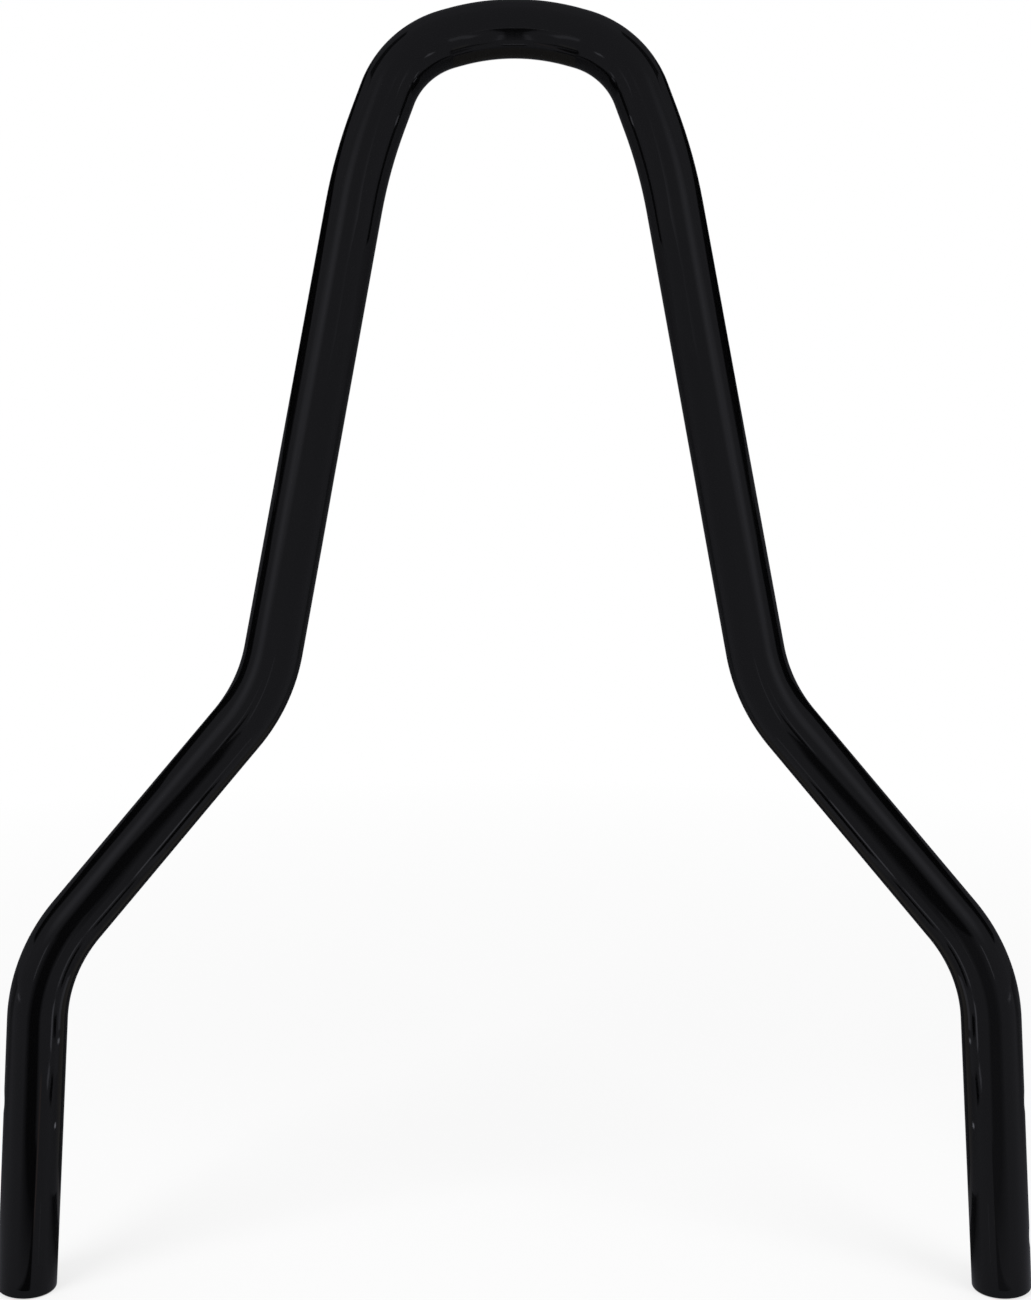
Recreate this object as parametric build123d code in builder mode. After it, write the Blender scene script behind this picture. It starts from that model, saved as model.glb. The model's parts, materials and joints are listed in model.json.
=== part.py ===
from build123d import *
from math import cos, radians, sin, tan
import os

# Sissy bar: one round steel bar bent to a hoop, whose two legs bolt between side plates.
# Sizes are in millimetres and angles in degrees. X runs across the bar, Y towards its back
# and Z up. The legs' cut ends stand on Z = 0, and the middle of the bar's depth is at Y = 0.

# Bar stock
bar_diameter = 15.875      # 5/8 inch round
end_chamfer = 0.5          # broken edge of each cut end

# Legs
leg_spacing = 254.0        # between the leg axes, at the corners of the lower elbows
leg_length = 91.0          # from the cut end to the corner of the lower elbow
leg_splay = 4.0            # how far each leg turns outwards on its way down

# Hoop: shoulders, uprights and crown, all in one plane
hoop_lean = 12.0           # how far the hoop's plane leans back from the legs
shoulder_angle = 39.5      # how far each shoulder turns inwards on its way up
upright_length = 150.0     # from the corner of the upper elbow to the corner of the sweep
upright_taper = 9.6        # how far each upright turns inwards on its way up
elbow_radius = 45.0        # bend radius of the lower and upper elbows, on the bar's axis
sweep_radius = 150.0       # bend radius between upright and crown side, on the bar's axis

# Crown of the hoop
crown_side = 34.0          # from the corner of the sweep to the corner of the crown
crown_taper = 19.5         # how far each crown side turns inwards on its way up
corner_radius = 25.4       # bend radius of the crown's corners, on the bar's axis
top_straight = 2.0         # left between each corner's bend and the arched top
top_radius = 60.0          # bend radius of the arched top, on the bar's axis
top_slope = 16.0           # how far the top has turned from level where its arch ends

# Tapped holes in the outer side of each leg, for 5/16-18 screws
hole_diameter = 6.6        # tapping drill
hole_wall = 3.4            # left between the drill's point and the inner side of the leg
drill_point_angle = 118.0
mouth_diameter = 8.4       # countersunk mouth
mouth_angle = 90.0
hole_edge = 16.0           # from the leg's foot to the lower hole, straight up
hole_spacing = 38.1        # from hole to hole, straight up

bar_radius = bar_diameter / 2
splay = radians(leg_splay)
lean = radians(hoop_lean)
shoulder = radians(shoulder_angle)
taper = radians(upright_taper)
crown = radians(crown_taper)
slope = radians(top_slope)

# Half of the crown's top, from the corner of the crown up to the apex, where its two slopes,
# drawn on, meet over the middle of the arch
corner_turn = radians(90 - crown_taper - top_slope)
top_run = corner_radius * tan(corner_turn / 2) + top_straight + top_radius * tan(slope)

# Distances of the right half's corners from the mid-plane, from the crown down
corner_x = top_run * cos(slope)
sweep_x = corner_x + crown_side * sin(crown)
neck_x = sweep_x + upright_length * sin(taper)
elbow_x = leg_spacing / 2
end_x = elbow_x + leg_length * sin(splay)

# Rises of the hoop's corners above the lower elbows, measured straight up its own plane
neck_rise = (elbow_x - neck_x) / tan(shoulder)
sweep_rise = neck_rise + upright_length * cos(taper)
corner_rise = sweep_rise + crown_side * cos(crown)
apex_rise = corner_rise + top_run * sin(slope)
crown_rise = apex_rise - top_radius * (1 / cos(slope) - 1)

# The legs stand as far forward of the middle as the crown's top stands behind it
leg_y = -crown_rise * sin(lean) / 2

# The splayed leg's cut end slopes, and its lowest edge touches Z = 0
end_z = (bar_radius - end_chamfer) * sin(splay)
elbow_z = end_z + leg_length * cos(splay)


def hoop_corner(x, rise):
    """A corner of the hoop, at x across it and at a rise up its leaning plane."""
    return Vector(x, leg_y + rise * sin(lean), elbow_z + rise * cos(lean))


# Corners of the bar's axis, from the right foot over the apex to the left foot
right_corners = [
    Vector(end_x, leg_y, end_z),
    hoop_corner(elbow_x, 0),
    hoop_corner(neck_x, neck_rise),
    hoop_corner(sweep_x, sweep_rise),
    hoop_corner(corner_x, corner_rise),
]
apex = hoop_corner(0, apex_rise)
left_corners = [Vector(-corner.X, corner.Y, corner.Z) for corner in reversed(right_corners)]
right_bends = [elbow_radius, elbow_radius, sweep_radius, corner_radius]
bends = right_bends + [top_radius] + right_bends[::-1]

# Cutter for one tapped hole: mouth at the origin, opening towards +X
hole_radius = hole_diameter / 2
mouth_radius = mouth_diameter / 2
mouth_depth = (mouth_radius - hole_radius) / tan(radians(mouth_angle / 2))
point_depth = hole_radius / tan(radians(drill_point_angle / 2))
hole_depth = bar_diameter - hole_wall - point_depth
with BuildPart() as tapped_hole:
    with BuildSketch(Plane.XZ):
        with BuildLine():
            Polyline(
                (-hole_depth - point_depth, 0),
                (-hole_depth, hole_radius),
                (-mouth_depth, hole_radius),
                (0, mouth_radius),
                (bar_radius, mouth_radius),
                (bar_radius, 0),
                close=True,
            )
        make_face()
    revolve(axis=Axis.X)

# Hole mouths on the outermost line of each leg, at the height of each hole
hole_places = []
for hole_z in (hole_edge, hole_edge + hole_spacing):
    leg_x = elbow_x + (elbow_z - hole_z) * tan(splay)
    mouth_x = leg_x + bar_radius / cos(splay)
    hole_places.append(Location((mouth_x, leg_y, hole_z)))
    hole_places.append(Location((-mouth_x, leg_y, hole_z), (0, 0, 180)))

# The bar: a round section swept along straight runs and tangent bends
foot, elbow = right_corners[:2]
with BuildPart() as sissy_bar:
    with BuildLine() as centre_line:
        FilletPolyline(right_corners + [apex] + left_corners, radius=bends)
    with BuildSketch(Plane(origin=foot, z_dir=elbow - foot)):
        Circle(bar_radius)
    sweep()
    cut_ends = sissy_bar.faces().filter_by(GeomType.PLANE)
    chamfer(cut_ends.edges(), length=end_chamfer)
    with Locations(hole_places):
        add(tapped_hole.part, mode=Mode.SUBTRACT)

sissy_bar.part.label = "sissy_bar"
os.makedirs("parts", exist_ok=True)
export_step(sissy_bar.part, "parts/sissy_bar.step")

box = sissy_bar.part.bounding_box()
print(f"bar length along its axis {centre_line.wire().length:.1f} mm")
print(f"box from {box.min} to {box.max}")
print(f"volume {sissy_bar.part.volume:.0f} mm3")
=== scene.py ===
# %% [markdown]
# # A gloss black sissy bar
#
# A sissy bar is the hoop behind a motorcycle's seat. This one is a single round steel bar, bent cold
# and painted gloss black. The imported model is loaded first and stays as it is: its mounts give the
# place of the legs and of the two pairs of tapped holes.

# %% Load the frame
import json
from math import cos, pi, radians, sin, tan

import bmesh
import bpy
from mathutils import Matrix, Vector


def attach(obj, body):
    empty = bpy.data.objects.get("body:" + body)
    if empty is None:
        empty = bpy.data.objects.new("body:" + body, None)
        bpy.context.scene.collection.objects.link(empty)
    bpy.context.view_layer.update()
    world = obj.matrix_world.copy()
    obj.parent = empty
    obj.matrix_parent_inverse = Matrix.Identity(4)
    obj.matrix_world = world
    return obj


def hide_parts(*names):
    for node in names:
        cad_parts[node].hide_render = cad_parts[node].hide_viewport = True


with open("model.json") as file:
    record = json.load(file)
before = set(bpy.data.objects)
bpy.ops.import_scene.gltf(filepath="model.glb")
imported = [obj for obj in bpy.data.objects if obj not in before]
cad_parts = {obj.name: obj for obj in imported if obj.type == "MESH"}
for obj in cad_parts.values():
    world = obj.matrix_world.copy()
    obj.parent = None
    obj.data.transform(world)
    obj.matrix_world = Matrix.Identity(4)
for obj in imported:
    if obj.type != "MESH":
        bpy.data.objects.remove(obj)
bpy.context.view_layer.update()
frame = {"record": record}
scene = bpy.context.scene
MM = 0.001

# %% [markdown]
# ## The bar's axis
#
# A bender thinks of a bar as straight runs that meet in corners, each corner rounded to the radius of
# one die. So the axis is set out the same way: two splayed legs, then a hoop that leans back in one
# plane. The hoop has slanted shoulders, tapering uprights, and a crown of two corners and an arch.
# The left half mirrors the right one, so only the right half is worked out.

# %% Sizes of the bar
bar_radius = 15.875 / 2 * MM
end_rounding = 0.5 * MM
leg_spacing = 254.0 * MM
leg_length = 91.0 * MM
upright_length = 150.0 * MM
crown_side = 34.0 * MM
top_straight = 2.0 * MM
elbow_radius = 45.0 * MM
sweep_radius = 150.0 * MM
corner_radius = 25.4 * MM
top_radius = 60.0 * MM
splay = radians(4.0)
lean = radians(12.0)
shoulder = radians(39.5)
taper = radians(9.6)
crown_taper = radians(19.5)
top_slope = radians(16.0)
print("the bar's radius is", bar_radius, "m, and its legs are", leg_spacing, "m apart")

# %% Corners of the axis
corner_turn = radians(90) - crown_taper - top_slope
top_run = corner_radius * tan(corner_turn / 2) + top_straight + top_radius * tan(top_slope)
corner_x = top_run * cos(top_slope)
sweep_x = corner_x + crown_side * sin(crown_taper)
neck_x = sweep_x + upright_length * sin(taper)
elbow_x = leg_spacing / 2

neck_rise = (elbow_x - neck_x) / tan(shoulder)
sweep_rise = neck_rise + upright_length * cos(taper)
corner_rise = sweep_rise + crown_side * cos(crown_taper)
apex_rise = corner_rise + top_run * sin(top_slope)

leg_y = frame["record"]["mounts"][0]["pos_m"][1]
foot_z = (bar_radius - end_rounding) * sin(splay)
elbow_z = foot_z + leg_length * cos(splay)


def hoop_corner(x, rise):
    """A corner of the hoop, at x across it and at a rise up its leaning plane."""
    return Vector((x, leg_y + rise * sin(lean), elbow_z + rise * cos(lean)))


right_foot = Vector((elbow_x + leg_length * sin(splay), leg_y, foot_z))
right_corners = [
    (hoop_corner(elbow_x, 0), elbow_radius),
    (hoop_corner(neck_x, neck_rise), elbow_radius),
    (hoop_corner(sweep_x, sweep_rise), sweep_radius),
    (hoop_corner(corner_x, corner_rise), corner_radius),
]
flip = Vector((-1, 1, 1))
left_corners = [(corner * flip, radius) for corner, radius in reversed(right_corners)]
corners = right_corners + [(hoop_corner(0, apex_rise), top_radius)] + left_corners
left_foot = right_foot * flip
print("corners of the axis:", len(corners))

# %% [markdown]
# ## Bending the bar
#
# A tube could be a curve with a bevel, but then its rings bunch up in the bends. Here the mesh is made
# as the real bar is: a circle is drawn at the right foot, pushed straight on by an extrusion, and
# swung round each die by a spin. Every ring stays square to the axis, so the gloss runs true.

# %% Moves of the bender
bar_sides = 128
degrees_per_ring = 1.25


def open_end(geometry):
    """The edges of the newest ring, out of what an operator made."""
    new = {item for item in geometry if isinstance(item, bmesh.types.BMVert)}
    edges = [item for item in geometry if isinstance(item, bmesh.types.BMEdge)]
    return [edge for edge in edges if new.issuperset(edge.verts)]


def push(bar, ring, travel):
    """Feed the bar straight on."""
    grown = bmesh.ops.extrude_edge_only(bar, edges=ring)["geom"]
    moved = [item for item in grown if isinstance(item, bmesh.types.BMVert)]
    bmesh.ops.translate(bar, verts=moved, vec=travel)
    return open_end(grown)


def swing(bar, ring, centre, axis, turn):
    """Bend the bar round a die."""
    ends = {vert for edge in ring for vert in edge.verts}
    rings = round(turn / radians(degrees_per_ring))
    spun = bmesh.ops.spin(bar, geom=list(ends) + ring, cent=centre, axis=axis, dvec=(0, 0, 0),
                          angle=turn, steps=rings, use_duplicate=False)
    return open_end(spun["geom_last"])


print("rings of", bar_sides, "sides, one for every", degrees_per_ring, "degrees of a bend")

# %% Bend the whole bar
bar = bmesh.new()
heading = (corners[0][0] - right_foot).normalized()
stance = Matrix.Translation(right_foot) @ heading.to_track_quat("Z", "Y").to_matrix().to_4x4()
circle = bmesh.ops.create_circle(bar, segments=bar_sides, radius=bar_radius, matrix=stance)
ring = list({edge for vert in circle["verts"] for edge in vert.link_edges})
place = right_foot
stops = [corner for corner, radius in corners[1:]] + [left_foot]
for (corner, radius), stop in zip(corners, stops):
    leaving = (stop - corner).normalized()
    turn = heading.angle(leaving)
    tangent = radius * tan(turn / 2)
    arc_start = corner - heading * tangent
    axis = heading.cross(leaving).normalized()
    ring = push(bar, ring, arc_start - place)
    ring = swing(bar, ring, arc_start + axis.cross(heading) * radius, axis, turn)
    place = corner + leaving * tangent
    heading = leaving
push(bar, ring, left_foot - place)
print("bar bent, faces:", len(bar.faces))

# %% [markdown]
# ## Cut ends
#
# The real bar is sawn to length, its edge is broken with a file, and the paint rounds it further. Each
# open end is closed with one face, and a bevel of a few segments makes the round.

# %% Close and round the ends
rounding_segments = 5
rims = [edge for edge in bar.edges if edge.is_boundary]
bmesh.ops.holes_fill(bar, edges=rims, sides=0)
bmesh.ops.bevel(bar, geom=rims, offset=end_rounding, offset_type="OFFSET", segments=rounding_segments,
                profile=0.5, affect="EDGES", material=-1, clamp_overlap=True)
bmesh.ops.recalc_face_normals(bar, faces=bar.faces[:])


def piece_from(mesh_data, name):
    """Turn a bmesh into an object in the scene."""
    mesh = bpy.data.meshes.new(name)
    mesh_data.to_mesh(mesh)
    mesh_data.free()
    piece = bpy.data.objects.new(name, mesh)
    scene.collection.objects.link(piece)
    return piece


bent_bar = piece_from(bar, "bent_bar")
print("bar with rounded ends, faces:", len(bent_bar.data.polygons))

# %% [markdown]
# ## Tapped holes
#
# Two screws hold each leg to its side plate. A drill with a countersink makes the hole, and a tap then
# cuts the thread. The same two tools are made here as closed shapes and taken out of the bar: the drill
# is a profile spun right round, and the tap is a short profile spun along a helix. The places come from
# the model's own mounts, so the holes can't drift.

# %% The drill
drill_radius = 6.6 / 2 * MM
mouth_radius = 8.4 / 2 * MM
drill_wall = 3.4 * MM
point_angle = 118
drill_point = drill_radius / tan(radians(point_angle / 2))
drill_depth = 2 * bar_radius - drill_wall - drill_point
mouth_depth = mouth_radius - drill_radius
drill_sides = 72
drill_weld = 0.001 * MM


def chain(tool, points):
    """A row of joined edges through points that are given as distance along X and radius."""
    verts = [tool.verts.new((along, 0, radius)) for along, radius in points]
    edges = [tool.edges.new(pair) for pair in zip(verts, verts[1:])]
    return verts + edges


def drill_shape():
    """Drill and countersink in one, with the mouth at the origin and the point towards -X."""
    tool = bmesh.new()
    profile = chain(tool, [
        (-drill_depth - drill_point, 0),
        (-drill_depth, drill_radius),
        (-mouth_depth, drill_radius),
        (0, mouth_radius),
        (bar_radius, mouth_radius),
        (bar_radius, 0),
    ])
    bmesh.ops.spin(tool, geom=profile, cent=(0, 0, 0), axis=(1, 0, 0), dvec=(0, 0, 0), angle=2 * pi,
                   steps=drill_sides, use_merge=True, use_duplicate=False)
    bmesh.ops.remove_doubles(tool, verts=tool.verts[:], dist=drill_weld)
    bmesh.ops.recalc_face_normals(tool, faces=tool.faces[:])
    return tool


print("the drill goes in", drill_depth, "m, and its point", drill_point, "m further")

# %% The tap
thread_pitch = 25.4 / 18 * MM
thread_radius = 5 / 16 * 25.4 / 2 * MM
core_gap = 0.1 * MM
thread_core = drill_radius - core_gap
thread_root = thread_pitch / 8
flank_angle = 30
thread_flank = (thread_radius - thread_core) * tan(radians(flank_angle))
thread_start = 1.4 * MM
thread_runout = 1.2 * MM
thread_depth = drill_depth - thread_runout
spare_turns = 3
tap_sides = 60
tap_weld = 0.002 * MM


def tap_shape():
    """A thread's helical ridge on a core, from near the drill's point to just under the mouth."""
    tool = bmesh.new()
    turns = round(thread_depth / thread_pitch) + spare_turns
    start = -thread_depth - thread_pitch
    crest = thread_pitch - thread_root - 2 * thread_flank
    profile = chain(tool, [
        (start, thread_core),
        (start + crest, thread_core),
        (start + crest + thread_flank, thread_radius),
        (start + crest + thread_flank + thread_root, thread_radius),
        (start + thread_pitch, thread_core),
    ])
    bmesh.ops.spin(tool, geom=profile, cent=(0, 0, 0), axis=(1, 0, 0), angle=2 * pi * turns,
                   dvec=(thread_pitch / tap_sides, 0, 0), steps=tap_sides * turns, use_duplicate=False)
    bmesh.ops.remove_doubles(tool, verts=tool.verts[:], dist=tap_weld)
    for cut_x, facing in ((-thread_depth, -1), (-thread_start, 1)):
        everything = tool.verts[:] + tool.edges[:] + tool.faces[:]
        bmesh.ops.bisect_plane(tool, geom=everything, dist=0, plane_co=(cut_x, 0, 0),
                               plane_no=(facing, 0, 0), clear_outer=True)
    bmesh.ops.holes_fill(tool, edges=[edge for edge in tool.edges if edge.is_boundary], sides=0)
    bmesh.ops.recalc_face_normals(tool, faces=tool.faces[:])
    return tool


print("the thread runs from", thread_start, "to", thread_depth, "m under the mouth")

# %% Cut the holes
def cut(piece, tool, places, name):
    """Take a tool's shape out of a piece at each place."""
    cutters = bmesh.new()
    one = bpy.data.meshes.new(name)
    tool.to_mesh(one)
    tool.free()
    for spot in places:
        before = set(cutters.verts)
        cutters.from_mesh(one)
        added = [vert for vert in cutters.verts if vert not in before]
        bmesh.ops.transform(cutters, matrix=spot, verts=added)
    cutter = piece_from(cutters, name)
    taking = piece.modifiers.new(name, "BOOLEAN")
    taking.operation = "DIFFERENCE"
    taking.solver = "EXACT"
    taking.object = cutter
    result = piece.evaluated_get(bpy.context.evaluated_depsgraph_get())
    whole, piece.data = piece.data, bpy.data.meshes.new_from_object(result)
    piece.modifiers.clear()
    bpy.data.meshes.remove(whole)
    bpy.data.meshes.remove(cutter.data)
    bpy.data.meshes.remove(one)


hole_places = []
for mount in frame["record"]["mounts"]:
    side = mount["axis"][0]
    middle = Vector(mount["pos_m"])
    half_spacing = mount["dims"]["spacing_y_mm"] / 2 * MM
    for hole_z in (middle.z - half_spacing, middle.z + half_spacing):
        mouth_x = elbow_x + (elbow_z - hole_z) * tan(splay) + bar_radius / cos(splay)
        facing = Matrix.Rotation(0 if side > 0 else pi, 4, "Z")
        hole_places.append(Matrix.Translation((side * mouth_x, middle.y, hole_z)) @ facing)

cut(bent_bar, drill_shape(), hole_places, "drilling")
cut(bent_bar, tap_shape(), hole_places, "tapping")
print("holes cut:", len(hole_places), "faces:", len(bent_bar.data.polygons))

# %% [markdown]
# ## Clean faces
#
# Where an edge of a tool all but meets an edge of the bar, the cut leaves slivers: faces so thin that
# they have no area. They are merged away, so the skin stays closed. The bar is then shaded smooth, as
# the real one shows no facets, but edges that turn sharply, such as the rim of a hole, stay crisp.

# %% Clear slivers and smooth the shading
sliver = 0.002 * MM
sharp_angle = radians(28)
cleaned = bmesh.new()
cleaned.from_mesh(bent_bar.data)
bmesh.ops.remove_doubles(cleaned, verts=cleaned.verts[:], dist=sliver)
bmesh.ops.dissolve_degenerate(cleaned, dist=sliver, edges=cleaned.edges[:])
open_edges = [edge for edge in cleaned.edges if not edge.is_manifold]
cleaned.to_mesh(bent_bar.data)
cleaned.free()
bent_bar.data.shade_smooth()
bent_bar.data.set_sharp_from_angle(angle=sharp_angle)
heights = [vert.co.z for vert in bent_bar.data.vertices]
print("edges that aren't shared by two faces:", len(open_edges))
print("bar stands from", min(heights), "to", max(heights))

# %% [markdown]
# ## Writing materials as sums
#
# A material is a tree of nodes. Building one by hand takes many lines, so a small class wraps a socket:
# adding or multiplying two of them adds a Math node, and one method makes any other node.

# %% A wire to do sums with
class Wire:
    """A node's output socket that can be used in sums."""

    def __init__(self, tree, socket=None):
        self.tree = tree
        self.socket = socket

    def node(self, kind, settings=None, sockets=None, output=0):
        """Add a node: its settings first, then the values and links of its sockets."""
        made = self.tree.nodes.new(kind)
        for name, value in (settings or {}).items():
            if name == "stops":
                set_stops(made.color_ramp, value)
            else:
                setattr(made, name, value)
        for name, value in (sockets or {}).items():
            if isinstance(value, Wire):
                self.tree.links.new(value.socket, made.inputs[name])
            else:
                made.inputs[name].default_value = value
        return Wire(self.tree, made.outputs[output]) if made.outputs else None

    def __add__(self, other):
        return self.node("ShaderNodeMath", {"operation": "ADD"}, {0: self, 1: other})

    def __radd__(self, other):
        return self.node("ShaderNodeMath", {"operation": "ADD"}, {0: other, 1: self})

    def __sub__(self, other):
        return self.node("ShaderNodeMath", {"operation": "SUBTRACT"}, {0: self, 1: other})

    def __rsub__(self, other):
        return self.node("ShaderNodeMath", {"operation": "SUBTRACT"}, {0: other, 1: self})

    def __mul__(self, other):
        return self.node("ShaderNodeMath", {"operation": "MULTIPLY"}, {0: self, 1: other})

    def __rmul__(self, other):
        return self.node("ShaderNodeMath", {"operation": "MULTIPLY"}, {0: other, 1: self})


def set_stops(ramp, stops):
    """Give a colour ramp its stops: places from 0 to 1, each with a grey or a colour."""
    while len(ramp.elements) < len(stops):
        ramp.elements.new(0.5)
    for element, (spot, tone) in zip(ramp.elements, stops):
        element.position = spot
        element.color = (tone, tone, tone, 1) if isinstance(tone, float) else (*tone, 1)


def new_tree(name):
    """An empty material and a wire into its tree."""
    material = bpy.data.materials.new(name)
    material.use_nodes = True
    material.node_tree.nodes.clear()
    return material, Wire(material.node_tree)


print("a wire can be added, taken away and multiplied")

# %% [markdown]
# ## The paint
#
# Gloss black powder coat is nearly black by itself: what is seen is what it mirrors. Up close it isn't
# quite flat. It has a faint orange peel, a millimetre or two across, and its gloss varies a little where
# the coat ran thicker. Both come from noise on Object coordinates, so they keep their real size.

# %% Gloss black paint
cloud_scale = 38.0
peel_scale = 420.0
dust_scale = 2600.0
peel_height = 0.012 * MM
thick_black = (0.0010, 0.0010, 0.0011)
thin_black = (0.0015, 0.0015, 0.0017)


def noise(wire, scale, detail):
    """Noise on Object coordinates, with its scale counted per metre."""
    here = wire.node("ShaderNodeTexCoord", output="Object")
    return wire.node("ShaderNodeTexNoise", {}, {"Vector": here, "Scale": scale, "Detail": detail})


def blend(wire, share, first, second):
    """A colour between two others. On a Mix node, sockets 6 and 7 take colours, and output 2 gives one."""
    return wire.node("ShaderNodeMix", {"data_type": "RGBA"}, {0: share, 6: (*first, 1), 7: (*second, 1)},
                     output=2)


def gloss_black_paint():
    """Near black, glossy, with orange peel."""
    material, wire = new_tree("gloss_black_paint")
    clouds = noise(wire, cloud_scale, 3.0)
    peel = noise(wire, peel_scale, 1.5)
    dust = noise(wire, dust_scale, 2.0)
    colour = blend(wire, clouds, thick_black, thin_black)
    roughness = 0.05 + clouds * 0.04 + dust * 0.02
    surface = wire.node("ShaderNodeBump", {}, {"Height": peel, "Strength": 0.25, "Distance": peel_height})
    paint = wire.node("ShaderNodeBsdfPrincipled", {},
                      {"Base Color": colour, "Roughness": roughness, "IOR": 1.5, "Normal": surface})
    wire.node("ShaderNodeOutputMaterial", {}, {"Surface": paint})
    return material


bent_bar.data.materials.clear()
bent_bar.data.materials.append(gloss_black_paint())
print("painted with", bent_bar.data.materials[0].name)

# %% [markdown]
# ## Tapped steel
#
# Tapped holes are plugged while a part is coated, so their threads stay bare. They are dark from oil.
# Each face is sorted by where its middle lies: on the wall of a bore or its thread it is bare, and
# everywhere else, the countersinks too, it is painted.

# %% Bare thread
oil_scale = 900.0
oily_steel = (0.10, 0.095, 0.09)
dry_steel = (0.26, 0.25, 0.24)


def tapped_steel():
    """Bare steel with a film of oil."""
    material, wire = new_tree("tapped_steel")
    oil = noise(wire, oil_scale, 3.0)
    colour = blend(wire, oil, oily_steel, dry_steel)
    steel = wire.node("ShaderNodeBsdfPrincipled", {},
                      {"Base Color": colour, "Roughness": 0.28 + oil * 0.2, "Metallic": 1.0})
    wire.node("ShaderNodeOutputMaterial", {}, {"Surface": steel})
    return material


bent_bar.data.materials.append(tapped_steel())
bores = [(spot.translation, spot.to_3x3() @ Vector((1, 0, 0))) for spot in hole_places]
near = 0.02 * MM


def is_bare(point):
    """Whether a point lies on the wall of a bore or on its thread."""
    for mouth, outward in bores:
        away = point - mouth
        depth = -away.dot(outward)
        reach = (away + outward * depth).length
        in_leg = depth < 2 * bar_radius
        if in_leg and depth > mouth_depth and reach < drill_radius + near:
            return True
        if in_leg and depth > thread_start - near and reach < thread_radius + near:
            return True
    return False


for face in bent_bar.data.polygons:
    face.material_index = int(is_bare(face.center))
print("bare faces in the threads:", sum(face.material_index for face in bent_bar.data.polygons))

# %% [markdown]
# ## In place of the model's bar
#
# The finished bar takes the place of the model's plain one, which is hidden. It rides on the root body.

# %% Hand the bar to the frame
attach(bent_bar, "root")
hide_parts("sissy_bar")

# %% [markdown]
# ## Floor and background
#
# The background is plain white. The floor and the world show white to the camera and to mirrors, while
# the light that falls on the bar stays at a plain level. Near the bar a share of the floor is still lit
# by the lamps, so the bar's shadow stays on it. Further off that share fades, and no horizon shows.

# %% Floor
floor_size = 6.0
shadow_share = 0.3
shadow_reach = 0.7
fade_start = 0.3
white = (1, 1, 1, 1)
pale = (0.9, 0.9, 0.9, 1)


def seen_directly(wire):
    """One for rays from the camera, from mirrors and through glass, and nothing for the rest."""
    seen = 0.0
    for ray in ("Is Camera Ray", "Is Glossy Ray", "Is Transmission Ray"):
        direct = wire.node("ShaderNodeLightPath", output=ray)
        seen = wire.node("ShaderNodeMath", {"operation": "MAXIMUM"}, {0: seen, 1: direct})
    return seen


def pale_floor():
    """White to the camera, with a share of lit floor where the shadow falls."""
    material, wire = new_tree("pale_floor")
    here = wire.node("ShaderNodeTexCoord", output="Object")
    far = wire.node("ShaderNodeVectorMath", {"operation": "LENGTH"}, {0: here}, output="Value")
    fade = wire.node("ShaderNodeValToRGB", {"stops": [(fade_start, shadow_share), (1.0, 0.0)]},
                     {0: far * (1 / shadow_reach)})
    lit = wire.node("ShaderNodeBsdfDiffuse", {}, {"Color": pale})
    glow = wire.node("ShaderNodeEmission", {}, {"Color": white, "Strength": 1.0})
    share = seen_directly(wire) * (1 - fade)
    both = wire.node("ShaderNodeMixShader", {}, {0: share, 1: lit, 2: glow})
    wire.node("ShaderNodeOutputMaterial", {}, {"Surface": both})
    return material


sheet = bmesh.new()
bmesh.ops.create_grid(sheet, x_segments=1, y_segments=1, size=floor_size)
floor = piece_from(sheet, "floor")
floor.data.materials.append(pale_floor())
print("floor laid, shadows fade out", shadow_reach, "m from the bar")

# %% World
room_light = 0.55
world = bpy.data.worlds.new("studio")
world.use_nodes = True
world.node_tree.nodes.clear()
sky = Wire(world.node_tree)
room = sky.node("ShaderNodeBackground", {}, {"Color": white, "Strength": room_light})
backdrop = sky.node("ShaderNodeBackground", {}, {"Color": white, "Strength": 1.0})
both = sky.node("ShaderNodeMixShader", {}, {0: seen_directly(sky), 1: room, 2: backdrop})
sky.node("ShaderNodeOutputWorld", {}, {"Surface": both})
scene.world = world
scene.view_settings.view_transform = "Standard"
print("world set, room light", room_light)

# %% [markdown]
# ## Lamps
#
# Two large soft boxes light the set from the front. They are kept out of the paint's reflections,
# which the cards below shape.

# %% Soft boxes
bar_middle = Vector((0, 0, 0.18))


def soft_box(name, place, size, power):
    """A round soft lamp that points at the middle of the bar."""
    lamp = bpy.data.lights.new(name, "AREA")
    lamp.shape = "DISK"
    lamp.size = size
    lamp.energy = power
    box = bpy.data.objects.new(name, lamp)
    box.location = place
    box.rotation_euler = (bar_middle - box.location).to_track_quat("-Z", "Y").to_euler()
    box.visible_glossy = False
    scene.collection.objects.link(box)


soft_box("key_light", place=(-1.1, -1.3, 1.6), size=1.2, power=24.0)
soft_box("fill_light", place=(1.2, -1.2, 1.2), size=1.2, power=16.0)
print("lamps:", [item.name for item in bpy.data.lights])

# %% [markdown]
# ## Camera
#
# The photograph was fitted with a 50 mm lens on a full-frame sensor, held upright, half a metre in
# front of the bar and tilted down by seven degrees.

# %% Camera
tilt_down = 7.0
lens = bpy.data.cameras.new("camera")
lens.lens = 50.0
lens.sensor_fit = "VERTICAL"
lens.sensor_height = 36.0
lens.clip_start = 0.01
camera = bpy.data.objects.new("camera", lens)
camera.location = (0.32 * MM, -496.2 * MM, 233.4 * MM)
camera.rotation_euler = (radians(90 - tilt_down), 0, 0)
scene.collection.objects.link(camera)
scene.camera = camera
print("camera at", camera.location[:])

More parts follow.
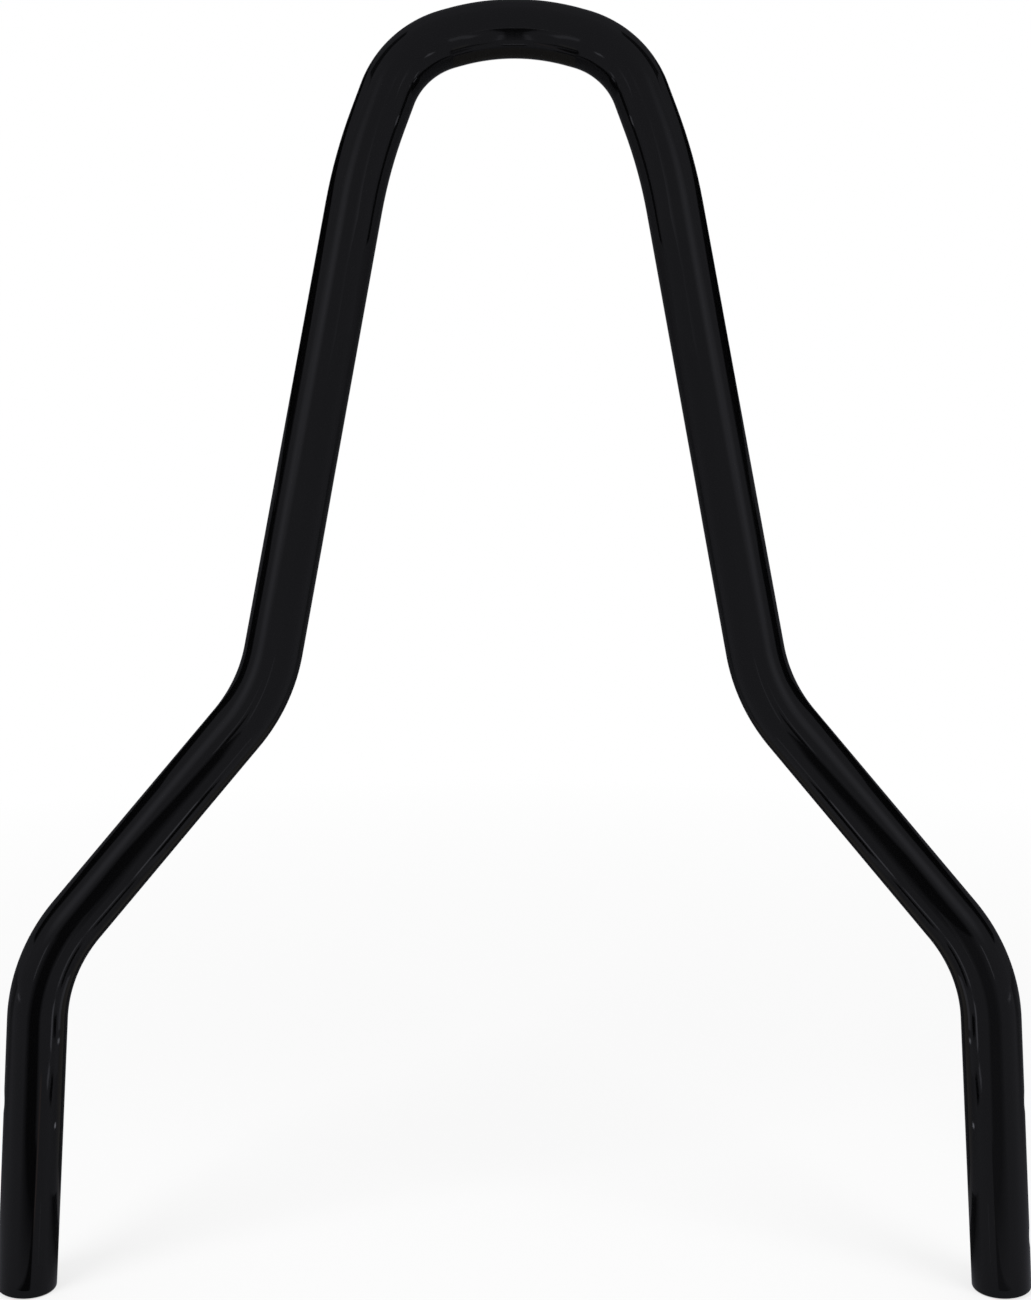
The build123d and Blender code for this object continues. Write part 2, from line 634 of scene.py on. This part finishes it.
# %% [markdown]
# ## What the paint mirrors
#
# Gloss black shows only its surroundings, so a photographer lights those and not the bar. An even
# grey tent and ground give the bar its flat dark grey. Black flags at the sides draw its dark outer
# edges, and a soft light on either side gives the pale band beside each edge. A grey card in the
# middle plane, edge on to the camera, keeps the two sides apart. Only reflections see these cards: to
# the camera and to the lamps they aren't there.

# %% Greys of the room
room_grey = 0.20


def cool(tone):
    """A grey with the slight blue cast of the room."""
    return (0.975 * tone, 0.98 * tone, 1.10 * tone)


def warm(tone):
    """A grey with a slight brown cast."""
    return (1.06 * tone, 1.0 * tone, 0.94 * tone)


def cools(*stops):
    """Stops of cool greys, given as places and tones."""
    return [(place, cool(tone)) for place, tone in stops]


def even(colour):
    """The same colour all over."""
    return lambda wire: (*colour, 1)


def along_y(start, end, stops):
    """Colours that follow stops from one place on Y to another."""
    def colour(wire):
        here = wire.node("ShaderNodeTexCoord", output="Object")
        y = wire.node("ShaderNodeSeparateXYZ", {}, {0: here}, output="Y")
        return wire.node("ShaderNodeValToRGB", {"stops": stops}, {0: (y - start) * (1 / (end - start))})
    return colour


print("the room's grey:", cool(room_grey))

# %% Cards that only mirrors see
both_sides = ((flip, "left"), (Vector((1, 1, 1)), "right"))
cards = []


def mirrored_only(shape, name, colour_from):
    """Make a glowing card of a shape, and hide it from everything but reflections."""
    material, wire = new_tree(name)
    material.cycles.emission_sampling = "NONE"
    light = wire.node("ShaderNodeEmission", {}, {"Color": colour_from(wire), "Strength": 1.0})
    wire.node("ShaderNodeOutputMaterial", {}, {"Surface": light})
    card = piece_from(shape, name)
    card.data.materials.append(material)
    card.visible_camera = False
    card.visible_diffuse = False
    card.visible_transmission = False
    card.visible_volume_scatter = False
    card.visible_shadow = False
    cards.append(name)


def flat_card(name, outline, colour_from):
    """A flat card with a few corners."""
    card = bmesh.new()
    card.faces.new([card.verts.new(corner) for corner in outline])
    mirrored_only(card, name, colour_from)


def card_pair(name, outline, colour_from):
    """The same card on the right and, mirrored, on the left."""
    for mirror, hand in both_sides:
        flat_card(hand + "_" + name, [Vector(corner) * mirror for corner in outline], colour_from)


print("cards come alone or in pairs:", [hand for mirror, hand in both_sides])

# %% Outlines of cards
card_lift = 0.5 * MM


def rectangle(left, right, low, high):
    """The four corners of an upright or lying rectangle."""
    return [(left, low), (right, low), (right, high), (left, high)]


def on_ground(*outline, layer=3):
    """Corners given as X and Y. Cards that overlap lie in layers, just above the floor."""
    return [(x, y, layer * card_lift) for x, y in outline]


def on_plane_x(x, *outline):
    """Corners on an upright plane across X, given as Y and Z."""
    return [(x, y, z) for y, z in outline]


def on_plane_y(y, *outline):
    """Corners on an upright plane across Y, given as X and Z."""
    return [(x, y, z) for x, z in outline]


print("layers on the ground are", card_lift, "m apart")

# %% [markdown]
# ## Tent and ground
#
# The tent is a half ball of grey cloth that is lit in front and darker towards the back, where a slit
# lets the white backdrop through. The ground goes from the same grey to a darker one behind the bar,
# and a narrow part of it is browner. A ramp along Y gives each its tones, as one large lamp would.

# %% Tent
tent_radius = 3.0
tent_sides = 96
tent_foot = -0.02
slit_half_width = 0.45
slit_top = 0.9
tent = bmesh.new()
bmesh.ops.create_uvsphere(tent, u_segments=tent_sides, v_segments=tent_sides // 2, radius=tent_radius)
bmesh.ops.bisect_plane(tent, geom=tent.verts[:] + tent.edges[:] + tent.faces[:], dist=0,
                       plane_co=(0, 0, tent_foot), plane_no=(0, 0, -1), clear_outer=True)
slit = []
for face in tent.faces:
    spot = face.calc_center_median()
    if spot.y > 0 and abs(spot.x) < slit_half_width and spot.z < slit_top:
        slit.append(face)
bmesh.ops.delete(tent, geom=slit, context="FACES")
tent_tones = cools((0.0, room_grey), (0.25, 0.195), (0.5, 0.17), (0.62, 0.12), (0.8, 0.07), (1.0, 0.05))
mirrored_only(tent, "tent", along_y(-tent_radius, tent_radius, tent_tones))
print("tent of radius", tent_radius, "m, with a slit at the back for the white backdrop")

# %% Ground and middle card
ground_reach = 2.9
ground_tones = cools((0.0, room_grey), (0.26, 0.195), (0.333, 0.12), (0.385, 0.075), (0.5, 0.07),
                     (0.7, 0.08), (1.0, 0.06))
flat_card("ground", on_ground(*rectangle(-ground_reach, ground_reach, -ground_reach, ground_reach), layer=1),
          along_y(-0.2, 0.4, ground_tones))

warm_half_width = 0.115
warm_start = 0.0
warm_end = 0.6
warm_tones = [(0.0, cool(0.13)), (0.06, warm(0.13)), (0.13, warm(0.11)), (0.4, warm(0.08)),
              (1.0, warm(0.05))]
flat_card("warm_ground",
          on_ground(*rectangle(-warm_half_width, warm_half_width, warm_start, warm_end), layer=2),
          along_y(warm_start, warm_end, warm_tones))

middle_front = -0.20
middle_back = 0.02
middle_top = 0.288
flat_card("middle_card", on_plane_x(0, *rectangle(middle_front, middle_back, 0, middle_top)),
          along_y(middle_front, middle_back, cools((0.0, room_grey), (0.9, 0.19), (1.0, 0.12))))
print("middle card up to", middle_top, "m")

# %% [markdown]
# ## Soft lights and flags
#
# In a studio a soft light is a lamp behind a white cloth, bright in its middle and fading outwards, so
# its tone follows the distance from two centres. A flag is a black panel. One stands far out on each
# side, one near the bar and one high up. A grey card inside the hoop keeps its inner sides plain.

# %% Soft lights
light_reach = 0.40
light_half = 0.55
light_low = Vector((0.73, -0.65, 0.60))
light_high = Vector((0.58, -0.71, 0.77))
light_tones = cools((0.0, 0.44), (0.35, 0.36), (0.8, 0.22), (1.0, room_grey))


def around(first, second, reach, stops):
    """Colours that follow stops with the distance from the nearer of two centres."""
    def colour(wire):
        here = wire.node("ShaderNodeTexCoord", output="Object")
        far = [wire.node("ShaderNodeVectorMath", {"operation": "DISTANCE"}, {0: here, 1: centre},
                         output="Value") for centre in (first, second)]
        nearer = wire.node("ShaderNodeMath", {"operation": "MINIMUM"}, {0: far[0], 1: far[1]})
        return wire.node("ShaderNodeValToRGB", {"stops": stops}, {0: nearer * (1 / reach)})
    return colour


def facing_bar(centre, half):
    """The corners of a square card that faces the bar's middle."""
    turn = (bar_middle - centre).to_track_quat("Z", "Y")
    return [centre + turn @ Vector((x, y, 0)) for x, y in rectangle(-half, half, -half, half)]


for mirror, hand in both_sides:
    low = light_low * mirror
    high = light_high * mirror
    flat_card(hand + "_soft_light", facing_bar((low + high) / 2, light_half),
              around(low, high, light_reach, light_tones))
print("a soft light stands on each side")

# %% Flags
flag = on_plane_x(0.9, (-0.08, 0.44), (1.5, 0.44), (1.5, 1.4), (0.35, 0.74), (-0.08, 0.60))
near_flag = on_plane_x(0.3, (-0.05, 0.14), (0.03, 0.14), (0.05, 0.19), (0.12, 0.20), (0.12, 0.275),
                       (-0.05, 0.275))
high_flag = on_plane_x(0.5, *rectangle(-0.02, 0.23, 0.72, 1.3))
inner_card = on_plane_x(0.02, (-0.045, 0.262), (0.004, 0.262), (0.001, 0.310), (0.006, 0.322),
                        (0.006, 0.34), (-0.024, 0.34), (-0.024, 0.306), (-0.045, 0.30))
card_pair("flag", flag, along_y(-0.08, 0.06, cools((0.0, 0.13), (1.0, 0.0))))
card_pair("near_flag", near_flag, along_y(-0.05, -0.02, cools((0.0, 0.19), (1.0, 0.0))))
card_pair("high_flag", high_flag, even(cool(0.02)))
card_pair("inner_card", inner_card, even(cool(room_grey)))
print("three flags stand on each side")

# %% [markdown]
# ## Dark bands
#
# Dark cards stand before the legs and shoulders, so that a soft-edged dark band, a painted dark
# reflection, runs up the middle of each. A round bar mirrors a wide view: a normal that is turned by
# some angle sends the ray off by twice that angle. So each edge of a card is set by the angle round the
# bar where it should show, and its place follows from the distance. Its tones fade across its own UV map.

# %% Where the shade cloth hangs
shade_cloth_ahead = 90 * MM
shade_cloth_foot = 9 * MM
right_elbow = right_corners[0][0]
right_neck = right_corners[1][0]
leg_run = (right_elbow - right_foot).normalized()
shoulder_run = (right_neck - right_elbow).normalized()
elbow_run = (leg_run + shoulder_run).normalized()


def station(point, run, outer, inner, ahead=shade_cloth_ahead):
    """Two edges of the shade cloth before a point of the bar, by angles round the bar (outwards is plus)."""
    to_camera = camera.location - point
    toward = (to_camera - run * to_camera.dot(run)).normalized()
    outward = run.cross(toward)
    edges = []
    for angle in (radians(outer), radians(inner)):
        aside = bar_radius * sin(angle) + (ahead - bar_radius * cos(angle)) * tan(2 * angle)
        edge = point + toward * ahead + outward * aside
        edges.append(Vector((edge.x, edge.y, max(edge.z, 4 * card_lift))))
    return edges


# Stations of the dark cards whose reflection paints the dark bands on the legs and shoulders.
leg_shade_cloth = [
    station(right_foot, leg_run, 22.5, -8.5, ahead=shade_cloth_foot),
    station(right_foot, leg_run, 22.5, -8.5),
    station(right_elbow, elbow_run, 18.5, -8.0),
]
shoulder_shade_cloth = [
    leg_shade_cloth[-1],
    station(right_elbow.lerp(right_neck, 0.20), shoulder_run, 16.5, -19.5),
    station(right_elbow.lerp(right_neck, 0.54), shoulder_run, 7.6, -19.2),
    station(right_elbow.lerp(right_neck, 0.70), shoulder_run, 4.0, -20.0),
    station(right_elbow.lerp(right_neck, 0.82), shoulder_run, -10.0, -14.0),
]
print("cloth hangs", shade_cloth_ahead, "m before both legs")

# %% Shade cloth before the legs and shoulders
# Tones of the painted dark bands: the right leg's band is lighter than the left's.
leg_dark = {"left": 0.01, "right": 0.09}
shoulder_tones = [(0.0, room_grey), (0.2, 0.01), (0.6, 0.02), (1.0, room_grey)]


def across(stops):
    """Colours that follow stops from one edge of a strip to the other."""
    def colour(wire):
        place = wire.node("ShaderNodeTexCoord", output="UV")
        share = wire.node("ShaderNodeSeparateXYZ", {}, {0: place}, output="X")
        return wire.node("ShaderNodeValToRGB", {"stops": stops}, {0: share})
    return colour


def shade_cloth_strip(name, stations, mirror, stops):
    """A strip of shade cloth through stations, a painted dark reflection with its tones across it."""
    strip = bmesh.new()
    uv = strip.loops.layers.uv.new("across")
    pairs = [[strip.verts.new(edge * mirror) for edge in pair] for pair in stations]
    for (first, second), (third, fourth) in zip(pairs, pairs[1:]):
        face = strip.faces.new((first, second, fourth, third))
        for loop, share in zip(face.loops, (0, 1, 1, 0)):
            loop[uv].uv = (share, 0)
    mirrored_only(strip, name, across(cools(*stops)))


for mirror, hand in both_sides:
    dark = leg_dark[hand]
    leg_tones = [(0.0, room_grey), (0.42, dark), (0.86, dark), (1.0, room_grey)]
    shade_cloth_strip(hand + "_leg_cloth", leg_shade_cloth, mirror, leg_tones)
    shade_cloth_strip(hand + "_shoulder_cloth", shoulder_shade_cloth, mirror, shoulder_tones)
print("strips of cloth:", [name for name in cards if name.endswith("cloth")])

# %% [markdown]
# ## Fine lines
#
# A fine bright line runs along the inner side of each shoulder, with a dark one beside it: a painted
# highlight and a painted dark reflection, from narrow cards near the middle of the set. They stand just
# off the middle card, one set for each side, and carry on over the ground.

# %% Fine lines along the shoulders
line_x = 0.6 * MM
bright_line = on_plane_x(line_x, (-0.086, 0.010), (-0.071, 0.010), (-0.057, 0.056), (-0.069, 0.056))
faint_line = on_plane_x(line_x, (-0.066, 0.060), (-0.055, 0.060), (-0.043, 0.092), (-0.048, 0.092))
dark_line = on_plane_x(line_x, (-0.058, 0.018), (-0.030, 0.018), (-0.026, 0.064), (-0.052, 0.060))
low_bright_line = on_ground((0.022, -0.098), (0.024, -0.086), (0.0, -0.077), (0.0, -0.090))
low_dark_line = on_ground((0.024, -0.068), (0.026, -0.046), (0.0, -0.036), (0.0, -0.058))
card_pair("bright_line", bright_line, even(cool(0.8)))
card_pair("faint_line", faint_line, even(cool(0.4)))
card_pair("dark_line", dark_line, even(cool(0.0)))
card_pair("low_bright_line", low_bright_line, even(cool(0.7)))
card_pair("low_dark_line", low_dark_line, even(cool(0.0)))
print("lines:", [name for name in cards if name.endswith("line")])

# %% [markdown]
# ## Small marks in the gloss
#
# A few small cards give the last marks, all painted reflections: a dark shape in the middle of the crown
# with a glint on either side, painted shade and small painted sparks on the inner sides of the legs, and
# painted glints at the crown's corners. Each is a plain card of its own, so it can be moved without the
# others.

# %% Dark shape before the crown
# Painted reflection: a dark card and its foot stand for the camera's dark body and its stand, which the
# crown mirrors in its middle.
shape_y = -0.8
shape_foot = -0.22
crown_shape = on_plane_y(shape_y, (-0.036, 0.0), (0.036, 0.0), (0.045, 0.04), (0.062, 0.184),
                         (0.047, 0.219), (-0.047, 0.219), (-0.062, 0.184), (-0.045, 0.04))
crown_shape_foot = on_ground((-0.022, shape_foot), (-0.036, shape_y), (0.036, shape_y), (0.022, shape_foot),
                             layer=2)
flat_card("crown_shape", crown_shape, even(cool(0.01)))
flat_card("crown_shape_foot", crown_shape_foot,
          along_y(shape_y, shape_foot, cools((0.0, 0.02), (0.6, 0.05), (1.0, 0.15))))
print("dark shape stands", -shape_y, "m before the bar")

# %% Shades and sparks by the legs
# Painted shade and painted highlights: dark cards darken the legs' inner sides in the reflection, the shade
# by each foot darker behind the foot, where a contact shadow would lie, and small bright cards give the
# sparks and streaks.
shade_y = 20.5 * MM
spark_x = 0.105
inner_shade = on_plane_y(shade_y, (0.118, 0.002), (0.082, 0.002), (0.078, 0.05), (0.05, 0.10), (0.03, 0.15),
                         (0.048, 0.175), (0.075, 0.135), (0.112, 0.085))
upper_spark = on_plane_x(spark_x, (-0.0278, 0.0627), (-0.0242, 0.0629), (-0.0242, 0.0643),
                         (-0.0278, 0.0641))
lower_spark = on_plane_x(spark_x, (-0.0270, 0.0366), (-0.0234, 0.0368), (-0.0234, 0.0382),
                         (-0.0270, 0.0380))
leg_streak = on_plane_x(spark_x, *rectangle(-0.0285, -0.0240, 0.0668, 0.0775))
foot_streak = on_ground((0.120, -0.0395), (0.118, -0.041), (0.094, -0.058), (0.096, -0.056))
foot_shade = on_ground((0.08, -0.03), (0.128, -0.03), (0.128, 0.004), (0.09, 0.004))
card_pair("inner_shade", inner_shade, even(cool(0.035)))
card_pair("upper_spark", upper_spark, even(cool(1.2)))
card_pair("lower_spark", lower_spark, even(cool(1.6)))
card_pair("leg_streak", leg_streak, even(cool(0.34)))
card_pair("foot_streak", foot_streak, even(cool(0.6)))
card_pair("foot_shade", foot_shade, along_y(-0.03, -0.014, cools((0.0, 0.16), (1.0, 0.02))))
print("sparks stand", spark_x, "m from the middle")

# %% Glints on the bar
glint_y = -0.45
# Painted highlights: bright cards that the bar mirrors as glints on the crown and its corners, a spark at
# the neck, and a rosy line on the left leg.
pale_band = (0.275, 0.27, 0.262)
rosy = (0.38, 0.29, 0.27)
stem_glint = on_ground(*rectangle(0.029, 0.042, -0.52, -0.24))
band_glint = on_ground(*rectangle(0.112, 0.136, -0.28, -0.06))
crown_glint = on_plane_y(glint_y, (0.074, 0.13), (0.104, 0.08), (0.104, 0.20), (0.074, 0.27))
corner_spark = on_plane_y(glint_y, *rectangle(0.31, 0.38, 0.06, 0.16))
corner_streak = on_ground((0.72, -0.36), (0.80, -0.26), (1.20, -0.17), (1.22, -0.30))
neck_spark = on_plane_x(0.012, *rectangle(0.014, 0.0165, 0.3165, 0.319))
left_leg_line = on_ground((-0.1165, -0.0565), (-0.1178, -0.0575), (-0.053, -0.148), (-0.045, -0.140))
card_pair("stem_glint", stem_glint, even(cool(0.40)))
card_pair("band_glint", band_glint, even(pale_band))
card_pair("crown_glint", crown_glint, even(cool(0.45)))
card_pair("corner_spark", corner_spark, even(cool(0.8)))
card_pair("corner_streak", corner_streak, even(cool(0.7)))
card_pair("neck_spark", neck_spark, even(cool(0.7)))
flat_card("left_leg_line", left_leg_line, even(rosy))
print("cards in all, the tent and the ground among them:", len(cards))
